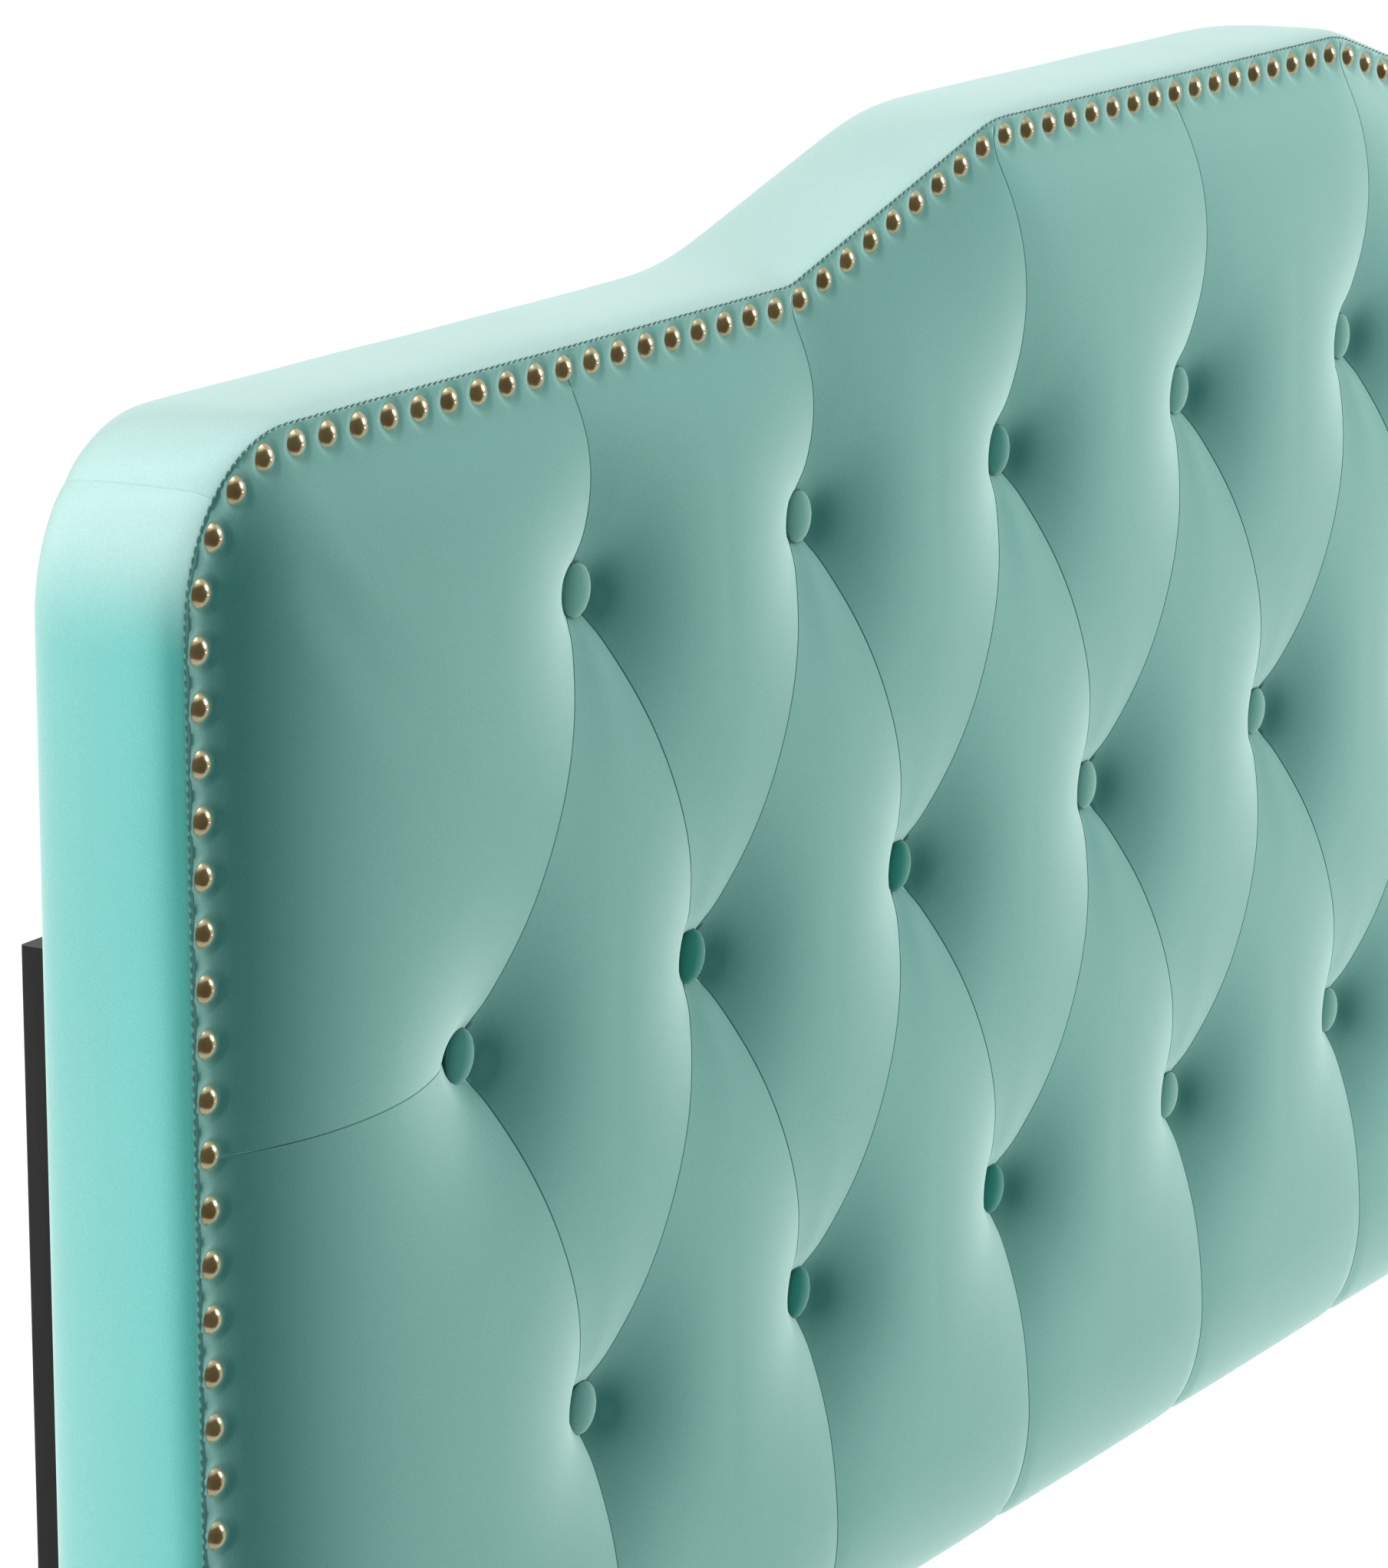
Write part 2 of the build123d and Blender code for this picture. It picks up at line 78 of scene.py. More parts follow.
# Tufting: broad funnels and a narrow lip round the buttons, crowns between the pleats that are fuller near a button
BUTTON_RADIUS = 11.25 * MM
BUTTON_PITCH = 175 * MM
ROW_Z = [(low[2] + high[2]) / 2 for low, high in rows.values()]
SHORT_ROW = [(i - 3) * BUTTON_PITCH for i in range(7)]
LONG_ROW = [(i - 3.5) * BUTTON_PITCH for i in range(8)]
TUFT_LIFT = -0.4 * MM
FUNNEL_RISE = 21.8 * MM
FUNNEL_REACH = 45 * MM
FUNNEL_POWER = 1.5
LIP_RISE = 2.4 * MM
LIP_START = 9 * MM
LIP_REACH = 8 * MM
CROWN_REACH = 45 * MM
DIAMOND_CROWN = (1.5 * MM, 8.5 * MM)
STRAIGHT_CROWN = (3 * MM, 11 * MM)
CROWN_FADE = 52 * MM
PLEAT_POWER = 3
PLEAT_CORE = 0.1 * MM
PLEAT_HIDDEN = 0.75 * BUTTON_RADIUS
PLEAT_END = 5 * MM
SLIT_DEPTH = 1.1 * MM
SLIT_HALF_WIDTH = 0.38 * MM
SLIT_FADE = (0.05, 0.5)
SEWN_SLIT_SHARE = 0.6

# Borders of the cover
RIM_INSET = 3.4 * MM
RIM_INSET_BELOW = 0.8 * MM
BORDER_START = 14 * MM
BORDER_REACH = 33 * MM
BORDER_POWER = 1.15
BORDER_BLUR = 0.35
BLUR_RAYS = 8
BOTTOM_ROLL = 60 * MM
BOTTOM_NOTCH = 2.5 * MM
NOTCH_HEIGHT = 20 * MM
NOTCH_HALF_WIDTH = 5 * MM
TUCK_DEPTH = 1.8 * MM
TUCK_REACH = 1.6 * MM
FOAM_INSET = 30 * MM
FOAM_FOOT = 2 * MM
FOAM_GAP = 0.1 * MM

# Nailhead trim and seam stitches
NAIL_INSET = 11 * MM
NAIL_END = 14 * MM
NAIL_PITCH = 20.6 * MM
NAIL_PRESS = (5.6 * MM, 8.4 * MM)
PUCKER = 0.2
NAIL_GROOVE = 0.12 * MM
GROOVE_HALF_WIDTH = 1.1 * MM
NAIL_RINGS = (5.3 * MM, 6.4 * MM, 7.8 * MM, 9.6 * MM)
STRIP_PUFF = 0.6 * MM
STRIP_MIDDLE = 0.8 * NAIL_INSET
STRIP_HALF_WIDTH = 0.7 * NAIL_INSET
STITCH_PITCH = 4 * MM
STITCH_LENGTH = 2.7 * MM
STITCH_RADIUS = 0.34 * MM
STITCH_OUT = 0.6 * MM
STITCH_DEPTH = 0.3 * MM
STITCH_SLANT = 0.25
STITCH_STRAY = 0.1
STITCH_SIDES = 6
STITCH_STATIONS = [(-0.5, 0.45), (-0.3, 1), (0.3, 1), (0.5, 0.45)]

# Spacing of mesh points, and how much room a new one needs beside those already there
COVER_PITCH = 4.4 * MM
LINE_PITCH = 3.4 * MM
BAND_PITCH = 6 * MM
NAIL_RING_PITCH = 2.4 * MM
FILL_ROW_SHARE = 0.866
FILL_EDGE = 3 * MM
PLEAT_SIDE_ROWS = (1.7 * MM, 4 * MM)
PLEAT_ROOM = 1.1 * MM
BUTTON_ROOM = 1.2 * MM
NAIL_ROOM = 0.9 * MM
BORDER_ROOM = 1.6 * MM
FILL_ROOM = 2.6 * MM
WELD_DISTANCE = 1e-6
DELAUNAY_INSIDE, DELAUNAY_CLOSE = 1, 1e-4

# Rings of mesh points round the buttons and inside the border, in millimetres
BUTTON_RINGS = (0, 5, 9, 11.2, 13, 15.5, 18.5, 22)
BORDER_RINGS = (2.6, 4.2, 6.2, 8.4, 10.8, 13.4, 16, 19, 22.4)


def smoothstep(low, high, value):
    """Nought below low, one above high, and smooth between them."""
    share = np.clip((value - low) / (high - low), 0, 1)
    return share * share * (3 - 2 * share)


# Mesh helpers

def new_object(name, mesh):
    """Object for a mesh, linked to the scene and smooth shaded."""
    obj = bpy.data.objects.new(name, mesh)
    bpy.context.scene.collection.objects.link(obj)
    for polygon in mesh.polygons:
        polygon.use_smooth = True
    return obj


def mesh_of(name, vertices, faces, slots=()):
    """Mesh from vertices, faces and material slots, with doubled points joined and its normals turned outwards."""
    mesh = bpy.data.meshes.new(name)
    mesh.from_pydata([tuple(v) for v in vertices], [], [tuple(f) for f in faces])
    for polygon, slot in zip(mesh.polygons, slots):
        polygon.material_index = slot
    bm = bmesh.new()
    bm.from_mesh(mesh)
    bmesh.ops.remove_doubles(bm, verts=bm.verts, dist=WELD_DISTANCE)
    bmesh.ops.recalc_face_normals(bm, faces=bm.faces)
    bm.to_mesh(mesh)
    bm.free()
    return mesh


def subdivided(obj, levels):
    """Subdivision surface on an object."""
    modifier = obj.modifiers.new("Smooth", "SUBSURF")
    modifier.levels = modifier.render_levels = levels
    return obj


# Panel outline

def outline_corners():
    """Corners of the panel outline with their radii, clockwise from the lower left."""
    left = [
        (-HALF_WIDTH, BOTTOM_Z, BOTTOM_CORNER_RADIUS),
        (-HALF_WIDTH, SHOULDER_Z, CORNER_RADIUS),
        (-HALF_CROWN - RAMP_RUN, SHOULDER_Z, RAMP_FOOT_RADIUS),
        (-HALF_CROWN, CROWN_Z, RAMP_HEAD_RADIUS),
    ]
    return left + [(-x, z, r) for x, z, r in reversed(left)]


def outline_loop(arc_step, run_step):
    """Closed loop of points on the outline, their outward normals, and the place of each corner's middle point."""
    corners = outline_corners()
    count = len(corners)
    spots = [Vector((x, z)) for x, z, _ in corners]
    legs = [(spots[(i + 1) % count] - spots[i]).normalized() for i in range(count)]
    turns = [math.atan2(legs[i - 1].cross(legs[i]), legs[i - 1].dot(legs[i])) for i in range(count)]
    cuts = [corners[i][2] * math.tan(abs(turns[i]) / 2) for i in range(count)]
    points, normals, middles = [], [], []
    for i, (*_, radius) in enumerate(corners):
        side = Vector((-legs[i - 1].y, legs[i - 1].x)) * math.copysign(1, turns[i])
        centre = spots[i] - legs[i - 1] * cuts[i] + side * radius
        arc_steps = max(2, 2 * round(radius * abs(turns[i]) / arc_step / 2))
        middles.append(len(points) + arc_steps // 2)
        for k in range(arc_steps + 1):
            ray = Matrix.Rotation(turns[i] * k / arc_steps, 2) @ -side
            points.append(centre + ray * radius)
            normals.append(ray * -math.copysign(1, turns[i]))
        leave = spots[i] + legs[i] * cuts[i]
        arrive = spots[(i + 1) % count] - legs[i] * cuts[(i + 1) % count]
        run_steps = max(1, round((arrive - leave).length / run_step))
        for k in range(1, run_steps):
            points.append(leave.lerp(arrive, k / run_steps))
            normals.append(Vector((-legs[i].y, legs[i].x)))
    return np.array([tuple(p) for p in points]), np.array([tuple(n) for n in normals]), middles


def segment_distance(points, a, b):
    """Distance of each point from the segment a-b."""
    run = b - a
    share = np.clip(((points - a) @ run) / (run @ run), 0, 1)
    return np.linalg.norm(points - a - share[:, None] * run, axis=1)


def distance_to_path(points, path):
    """Least distance of each point from an open path of points."""
    least = np.full(len(points), np.inf)
    for a, b in zip(path[:-1], path[1:]):
        least = np.minimum(least, segment_distance(points, a, b))
    return least


def trim_path(inset, end):
    """Open path parallel to the outline, from the lower left over the top to the lower right."""
    points, normals, _ = outline_loop(TRIM_ARC_STEP, NO_RUN_STEP)
    path = points - normals * inset
    upper = path[path[:, 1] > BOTTOM_Z + max(end, 2 * BOTTOM_CORNER_RADIUS)]
    ends = np.array([[inset - HALF_WIDTH, BOTTOM_Z + end], [HALF_WIDTH - inset, BOTTOM_Z + end]])
    return np.vstack([ends[:1], upper, ends[1:]])


def along(path, pitch):
    """Points and directions along a path, as near to one pitch apart as an even division allows."""
    hops = np.diff(path, axis=0)
    lengths = np.linalg.norm(hops, axis=1)
    travel = np.concatenate([[0], np.cumsum(lengths)])
    stops = np.linspace(0, travel[-1], round(travel[-1] / pitch) + 1)
    legs = np.clip(np.searchsorted(travel, stops, side="right") - 1, 0, len(hops) - 1)
    places = np.column_stack([np.interp(stops, travel, path[:, k]) for k in (0, 1)])
    return places, hops[legs] / lengths[legs, None]


# Front cover

def button_places():
    """Every button's x and z, row by row."""
    spots = [(x, ROW_Z[0]) for x in SHORT_ROW] + [(x, ROW_Z[1]) for x in LONG_ROW]
    return np.array(spots + [(x, ROW_Z[2]) for x in SHORT_ROW])


def panel_top(x):
    """Height of the panel's top over x, without its rounded ends."""
    share = np.clip((HALF_CROWN + RAMP_RUN - abs(x)) / RAMP_RUN, 0, 1)
    return SHOULDER_Z + share * CROWN_RISE


def pleat_lines():
    """Pleats as pairs of end points: diamonds between the rows, then the straight ones out to the border."""
    lines = []
    for x in SHORT_ROW:
        for side in (-1, 1):
            near = x + side * BUTTON_PITCH / 2
            lines.append(((x, ROW_Z[0]), (near, ROW_Z[1])))
            lines.append(((x, ROW_Z[2]), (near, ROW_Z[1])))
        lines.append(((x, ROW_Z[0]), (x, panel_top(x))))
        lines.append(((x, ROW_Z[2]), (x, BOTTOM_Z)))
    for side in (-1, 1):
        lines.append(((side * LONG_ROW[-1], ROW_Z[1]), (side * HALF_WIDTH, ROW_Z[1])))
    return [(np.array(a), np.array(b)) for a, b in lines]


def border_share(points, path):
    """How much of the full height the cover has, from nought along the nails to one well inside them."""
    edge = distance_to_path(points, path)
    total = np.zeros(len(points))
    for k in range(BLUR_RAYS):
        turn = 2 * math.pi * k / BLUR_RAYS
        moved = points + BORDER_BLUR * edge[:, None] * np.array([math.cos(turn), math.sin(turn)])
        depth = np.clip(distance_to_path(moved, path) - BORDER_START, 0, None)
        total += 1 - np.exp(-((depth / BORDER_REACH) ** BORDER_POWER))
    return edge, total / BLUR_RAYS


def cover_height(points, nails):
    """How far the cover stands in front of the seam plane at each point."""
    edge, border = border_share(points, trim_path(0, 0))
    foot = np.clip(points[:, 1] - BOTTOM_Z, 0, None)
    funnel = np.ones(len(points))
    near_button = np.full(len(points), np.inf)
    for place in button_places():
        reach = np.linalg.norm(points - place, axis=1)
        funnel *= 1 - np.exp(-((reach / FUNNEL_REACH) ** FUNNEL_POWER))
        near_button = np.minimum(near_button, reach)
    lip = 1 - np.exp(-((np.clip(near_button - LIP_START, 0, None) / LIP_REACH) ** 2))
    closeness, fullness = np.zeros(len(points)), np.zeros(len(points))
    near_pleat = np.full(len(points), np.inf)
    fade = np.exp(-((near_button / CROWN_FADE) ** 2))
    for a, b in pleat_lines():
        off = segment_distance(points, a, b)
        least, more = STRAIGHT_CROWN if a[0] == b[0] else DIAMOND_CROWN
        weight = (off + PLEAT_CORE) ** -PLEAT_POWER
        closeness += weight
        fullness += (least + more * fade) * weight
        near_pleat = np.minimum(near_pleat, off)
    crown = fullness / closeness * (1 - np.exp(-(closeness ** (-1 / PLEAT_POWER)) / CROWN_REACH))
    field = TUFT_LIFT + FUNNEL_RISE * funnel + LIP_RISE * lip + crown
    near_nail = np.full(len(points), np.inf)
    close = edge < 3 * NAIL_INSET
    for nail in nails:
        near_nail[close] = np.minimum(near_nail[close], np.linalg.norm(points[close] - nail, axis=1))
    pressed = smoothstep(*NAIL_PRESS, near_nail)
    strip = STRIP_PUFF * np.exp(-(((edge - STRIP_MIDDLE) / STRIP_HALF_WIDTH) ** 2))
    under = np.sqrt(1 - np.clip(1 - foot / BOTTOM_ROLL, 0, 1) ** 2)
    notch = BOTTOM_NOTCH * np.exp(-foot / NOTCH_HEIGHT - (near_pleat / NOTCH_HALF_WIDTH) ** 2)
    tuck = TUCK_DEPTH * np.exp(-np.minimum(edge, foot) / TUCK_REACH)
    sewn_in = SEWN_SLIT_SHARE * (points[:, 1] > ROW_Z[0])
    on_floor = near_pleat < 0.1 * SLIT_HALF_WIDTH
    slit = SLIT_DEPTH * on_floor * np.maximum(smoothstep(*SLIT_FADE, border), sewn_in)
    padding = field * border * (1 - PUCKER + PUCKER * pressed) + strip * pressed
    groove = NAIL_GROOVE * np.exp(-(((near_nail - NAIL_RINGS[1]) / GROOVE_HALF_WIDTH) ** 2))
    return padding * under - tuck - slit - notch - groove


class PointBin:
    """Points in a plane, binned so that a new one can be kept clear of those already there."""

    def __init__(self, cell):
        self.cell, self.bins, self.points = cell, {}, []

    def free(self, p, room):
        """True if no point lies nearer than room."""
        i, j = int(p[0] // self.cell), int(p[1] // self.cell)
        near = (q for u in (-1, 0, 1) for v in (-1, 0, 1) for q in self.bins.get((i + u, j + v), ()))
        return all((q[0] - p[0]) ** 2 + (q[1] - p[1]) ** 2 >= room * room for q in near)

    def add(self, p):
        """Add a point and return its number."""
        self.bins.setdefault((int(p[0] // self.cell), int(p[1] // self.cell)), []).append(p)
        self.points.append(p)
        return len(self.points) - 1

    def add_if_free(self, p, room):
        """Add a point only where there is room for it."""
        if self.free(p, room):
            self.add(p)


def add_pleat(spots, a, b):
    """Rows of points along one pleat; returns the edges of its floor and of its two lips."""
    length = np.linalg.norm(b - a)
    run = (b - a) / length
    across = np.array([-run[1], run[0]])
    ends_at_button = any(np.allclose(b, place) for place in button_places())
    stops = np.arange(PLEAT_HIDDEN, length - (PLEAT_HIDDEN if ends_at_button else PLEAT_END), LINE_PITCH)
    rows_of = [[spots.add(a + run * s + across * side * SLIT_HALF_WIDTH) for s in stops] for side in (0, -1, 1)]
    floor, left, right = [list(zip(row[:-1], row[1:])) for row in rows_of]
    for offset in PLEAT_SIDE_ROWS:
        for side in (-1, 1):
            for s in stops:
                spots.add_if_free(a + run * (s + 0.4 * offset) + across * side * offset, PLEAT_ROOM)
    return floor, left + right


def cover_rim():
    """Loop of the cover's sewn edge, a little inside the outline."""
    loop, normals, _ = outline_loop(LINE_PITCH, LINE_PITCH)
    below = np.clip(-normals[:, 1], 0, 1)
    return loop - normals * (RIM_INSET + (RIM_INSET_BELOW - RIM_INSET) * below)[:, None]


def cover_points(nails):
    """Points of the cover in the panel's plane, the edges its mesh keeps, and those of the pleats' lips."""
    spots = PointBin(COVER_PITCH)
    rim = cover_rim()
    for p in rim:
        spots.add(p)
    kept = [(i, (i + 1) % len(rim)) for i in range(len(rim))]
    lips = []
    for a, b in pleat_lines():
        floor, pair = add_pleat(spots, a, b)
        kept.extend(floor)
        lips.extend(pair)
    for place in button_places():
        for radius in BUTTON_RINGS:
            count = max(1, round(2 * math.pi * radius * MM / LINE_PITCH))
            for k in range(count):
                turn = 2 * math.pi * (k + 0.5 * (radius % 2)) / count
                spots.add_if_free(place + radius * MM * np.array([math.cos(turn), math.sin(turn)]), BUTTON_ROOM)
    for nail in nails:
        for radius in NAIL_RINGS:
            count = round(2 * math.pi * radius / NAIL_RING_PITCH)
            for k in range(count):
                turn = 2 * math.pi * k / count
                spots.add_if_free(nail + radius * np.array([math.cos(turn), math.sin(turn)]), NAIL_ROOM)
    loop, normals, _ = outline_loop(LINE_PITCH, LINE_PITCH)
    for inset in BORDER_RINGS:
        for p in loop - normals * inset * MM:
            spots.add_if_free(p, BORDER_ROOM)
    low, high = rim.min(axis=0), rim.max(axis=0)
    fill = np.array([
        (x, z)
        for j, z in enumerate(np.arange(low[1], high[1], COVER_PITCH * FILL_ROW_SHARE))
        for x in np.arange(low[0] + (j % 2) * COVER_PITCH / 2, high[0], COVER_PITCH)
    ])
    depth = np.minimum(distance_to_path(fill, trim_path(0, 0)), fill[:, 1] - BOTTOM_Z)
    inside = (abs(fill[:, 0]) < HALF_WIDTH) & (fill[:, 1] < panel_top(fill[:, 0])) & (depth > FILL_EDGE)
    for p in fill[inside]:
        spots.add_if_free(p, FILL_ROOM)
    return np.array(spots.points), kept, lips


def close_behind(vertices, faces, rim_count):
    """Close the cover with the foam's flat body: from its rim back to the strips, in to the foam, back to the board."""
    rim = vertices[:rim_count]
    inner = np.clip(rim[:, 0], FOAM_INSET - HALF_WIDTH, HALF_WIDTH - FOAM_INSET)
    level = np.clip(rim[:, 2], BOTTOM_Z + FOAM_FOOT, panel_top(inner) - FOAM_INSET)
    rings = [
        np.column_stack([rim[:, 0], np.full(rim_count, STRIP_Y - FOAM_GAP), rim[:, 2]]),
        np.column_stack([inner, np.full(rim_count, STRIP_Y - FOAM_GAP), level]),
        np.column_stack([inner, np.full(rim_count, BOARD_Y - FOAM_GAP), level]),
    ]
    first = list(range(rim_count))
    for ring in rings:
        second = list(range(len(vertices), len(vertices) + rim_count))
        vertices = np.vstack([vertices, ring])
        faces = faces + [(first[i], first[i - 1], second[i - 1], second[i]) for i in range(rim_count)]
        first = second
    return vertices, faces + [tuple(first)]


def make_front_cover(nails):
    """Tufted cover with its foam as one closed padded form, creased along the pleats."""
    flat, kept, lips = cover_points(nails)
    rim_count = len(cover_rim())
    scaled = [Vector((p[0] / MM, p[1] / MM)) for p in flat]
    found = geometry.delaunay_2d_cdt(scaled, kept + lips, [], DELAUNAY_INSIDE, DELAUNAY_CLOSE)
    places = np.array([tuple(v) for v in found[0]]) * MM
    vertices = np.column_stack([places[:, 0], SEAM_Y - cover_height(places, nails), places[:, 1]])
    vertices, faces = close_behind(vertices, [tuple(face) for face in found[2]], rim_count)
    mesh = mesh_of("front_cover_padded", vertices, faces)
    number = {tuple(np.round(vertex.co, 6)): vertex.index for vertex in mesh.vertices}
    sharp = set()
    for (a, b), sources in zip(found[1], found[4]):
        if any(source >= len(kept) for source in sources):
            sharp.add(frozenset(number[tuple(np.round(Vector(vertices[k]), 6))] for k in (a, b)))
    for edge in mesh.edges:
        edge.use_edge_sharp = frozenset(edge.vertices) in sharp
    return new_object("front_cover_padded", mesh)


nail_places, _ = along(trim_path(NAIL_INSET, NAIL_END), NAIL_PITCH)
front_cover = make_front_cover(nail_places)
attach(front_cover, "panel")
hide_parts("front_cover", "foam_pad")


# Boxing bands: how far out of the outline and how deep behind the seam plane, in millimetres, round the strip

BAND_PROFILE = [
    (-5.4, 3.4), (-4.7, 1.4), (-3.9, 0.4), (-2.9, 0.6), (-1.7, 1.9), (-0.5, 4.2), (0.6, 7.6), (1.5, 13), (2.2, 24),
    (2.2, 40), (1.6, 51), (0.8, 58), (-0.4, 62.4), (-1.6, 64.4), (-3.2, 65.1), (-5.8, 65.1), (-6.6, 64.2),
    (-6.7, 40), (-6.7, 16), (-6.2, 6),
]
BAND_SOFTNESS = 22 * MM
# Heights over which the band's colour is painted paler, as painted light from above on its top
LIT_TOP_HEIGHTS = (SHOULDER_Z - 1.15 * CORNER_RADIUS, SHOULDER_Z - 0.45 * CORNER_RADIUS)
BAND_SOFT_DEPTHS = (2, 24)
BAND_STEPS = (4 * MM, 8 * MM)
BAND_EASE = (60 * MM, 160 * MM)
BAND_WAVE = 0.2
SHORT_WAVE, LONG_WAVE = 23 * MM, 61 * MM
WAVY_ABOVE, TUCKED_ABOVE = -1, -4
BOTTOM_SINK = 2.2
SEAM_TUCK = 0.9 * MM
SEAM_TUCK_REACH = 1.8 * MM
SEAM_OVERLAP = 0.8 * MM


def softened(values, step, reach):
    """Values along an even run, smoothed over a reach, with both ends carried on straight."""
    half = int(3 * reach / step)
    weights = np.exp(-((np.arange(-half, half + 1) * step / reach) ** 2) / 2)
    longer = np.vstack([2 * values[0] - values[half:0:-1], values, 2 * values[-1] - values[-2:-half - 2:-1]])
    return np.column_stack([np.convolve(longer[:, k], weights / weights.sum(), "valid") for k in (0, 1)])


def lapped(run):
    """A run carried a little way past both of its ends."""
    first, last = run[0] - run[1], run[-1] - run[-2]
    start = run[0] + first / np.linalg.norm(first) * SEAM_OVERLAP
    return np.vstack([start, run, run[-1] + last / np.linalg.norm(last) * SEAM_OVERLAP])


def sweep_band(name, points, normals, sink):
    """Closed padded strip swept along a run of the outline, crisp at the front seam and softer towards the back."""
    hops = np.linalg.norm(np.diff(points, axis=0), axis=1)
    travel = np.concatenate([[0], np.cumsum(hops)])
    stops = np.linspace(0, travel[-1], round(travel[-1] / BAND_PITCH) + 1)
    crisp = np.column_stack([np.interp(stops, travel, points[:, k]) for k in (0, 1)])
    out = np.column_stack([np.interp(stops, travel, normals[:, k]) for k in (0, 1)])
    ease = smoothstep(*BAND_EASE, np.minimum(stops, travel[-1] - stops))[:, None]
    soft = crisp + (softened(crisp, stops[1], BAND_SOFTNESS) - crisp) * ease
    soft_out = out + (softened(out, stops[1], BAND_SOFTNESS) - out) * ease
    soft_out /= np.linalg.norm(soft_out, axis=1)[:, None]
    crisp, soft = lapped(crisp), lapped(soft)
    out, soft_out = np.vstack([out[:1], out, out[-1:]]), np.vstack([soft_out[:1], soft_out, soft_out[-1:]])
    stops = np.concatenate([[-SEAM_OVERLAP], stops, [travel[-1] + SEAM_OVERLAP]])
    tuck = SEAM_TUCK * np.exp(-np.clip(np.minimum(stops, travel[-1] - stops), 0, None) / SEAM_TUCK_REACH)
    size = len(BAND_PROFILE)
    vertices = np.zeros((len(stops), size, 3))
    for k, (rise, depth) in enumerate(BAND_PROFILE):
        back = smoothstep(*BAND_SOFT_DEPTHS, depth)
        wave = BAND_WAVE * np.sin(stops / SHORT_WAVE + depth / 17) * np.sin(stops / LONG_WAVE + 1.3)
        shift = (rise + wave * (rise > WAVY_ABOVE) - sink) * MM - tuck * (rise > TUCKED_ABOVE)
        place = crisp + (soft - crisp) * back + (out + (soft_out - out) * back) * shift[:, None]
        vertices[:, k] = np.column_stack([place[:, 0], np.full(len(stops), SEAM_Y + depth * MM), place[:, 1]])
    faces = [
        (i * size + k, i * size + (k + 1) % size, (i + 1) * size + (k + 1) % size, (i + 1) * size + k)
        for i in range(len(stops) - 1)
        for k in range(size)
    ]
    faces += [tuple(range(size)), tuple(range((len(stops) - 1) * size, len(stops) * size))]
    return subdivided(new_object(name, mesh_of(name, vertices.reshape(-1, 3), faces)), 2)


def make_bands():
    """The four strips round the panel's edge, parted at the middle of each rounded corner."""
    points, normals, middles = outline_loop(*BAND_STEPS)
    low_left, high_left, high_right, low_right = middles[0], middles[1], middles[6], middles[7]
    spans = {
        "side_band_left": (range(low_left, high_left + 1), 0, ["side_band_left"]),
        "top_band": (range(high_left, high_right + 1), 0, ["top_band", "edge_wadding"]),
        "side_band_right": (range(high_right, low_right + 1), 0, ["side_band_right"]),
        "bottom_band": (range(low_right, len(points) + low_left + 1), BOTTOM_SINK, ["bottom_band"]),
    }
    bands = []
    for name, (span, sink, nodes) in spans.items():
        order = [i % len(points) for i in span]
        band = sweep_band(name + "_padded", points[order], normals[order], sink)
        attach(band, "panel")
        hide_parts(*nodes)
        bands.append(band)
    return bands


bands = make_bands()


# Stitches in the seam between the cover and the bands

def make_stitches():
    """Row of short thread stitches lying in the seam, each one a little capsule turned slightly across it."""
    places, runs = along(trim_path(RIM_INSET - STITCH_OUT, 3 * BOTTOM_CORNER_RADIUS), STITCH_PITCH)
    turns = [2 * math.pi * k / STITCH_SIDES for k in range(STITCH_SIDES)]
    ring = [(math.cos(turn), math.sin(turn)) for turn in turns]
    vertices, faces = [], []
    for p, run in zip(places, runs):
        slant = STITCH_SLANT + random.uniform(-STITCH_STRAY, STITCH_STRAY)
        run = np.array([run[0] - slant * run[1], run[1] + slant * run[0]]) / math.hypot(1, slant)
        across = np.array([-run[1], run[0]])
        base = len(vertices)
        for share, girth in STITCH_STATIONS:
            for u, v in ring:
                spot = p + run * share * STITCH_LENGTH + across * u * girth * STITCH_RADIUS
                vertices.append((spot[0], SEAM_Y + STITCH_DEPTH + v * girth * STITCH_RADIUS, spot[1]))
        for i in range(len(STITCH_STATIONS) - 1):
            for k in range(STITCH_SIDES):
                a, b = base + STITCH_SIDES * i + k, base + STITCH_SIDES * i + (k + 1) % STITCH_SIDES
                faces.append((a, b, b + STITCH_SIDES, a + STITCH_SIDES))
        faces += [tuple(range(base, base + STITCH_SIDES)), tuple(range(len(vertices) - STITCH_SIDES, len(vertices)))]
    return new_object("seam_stitches", mesh_of("seam_stitches", vertices, faces))


stitches = make_stitches()
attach(stitches, "panel")


# Buttons

BUTTON_PROFILE = [
    (0, 4.0), (2.5, 3.92), (5, 3.66), (7.5, 3.16), (9.3, 2.56), (9.8, 2.3), (10.6, 1.75), (11.2, 1.0), (11.0, 0.4),
    (9.6, 0.1),
]
BUTTON_SEGMENTS = 40
# Rings from this one outwards take the painted shade of the button's rim
BUTTON_RIM_RING = 6
BUTTON_TILT = 0.03
GATHERS = 14
GATHER_START = 9
GATHER_SLOPE = 0.06
PLAIN_SLOT, TURNED_SLOT, DEEP_SLOT, RIM_SHADE_SLOT = range(4)
BUTTON_SLOTS = {
    "buttons_top_row": {2: TURNED_SLOT},
    "buttons_middle_row": {0: TURNED_SLOT, 1: DEEP_SLOT, 2: DEEP_SLOT, 5: DEEP_SLOT, 6: DEEP_SLOT, 7: TURNED_SLOT},
    "buttons_bottom_row": {1: DEEP_SLOT, 2: DEEP_SLOT},
}


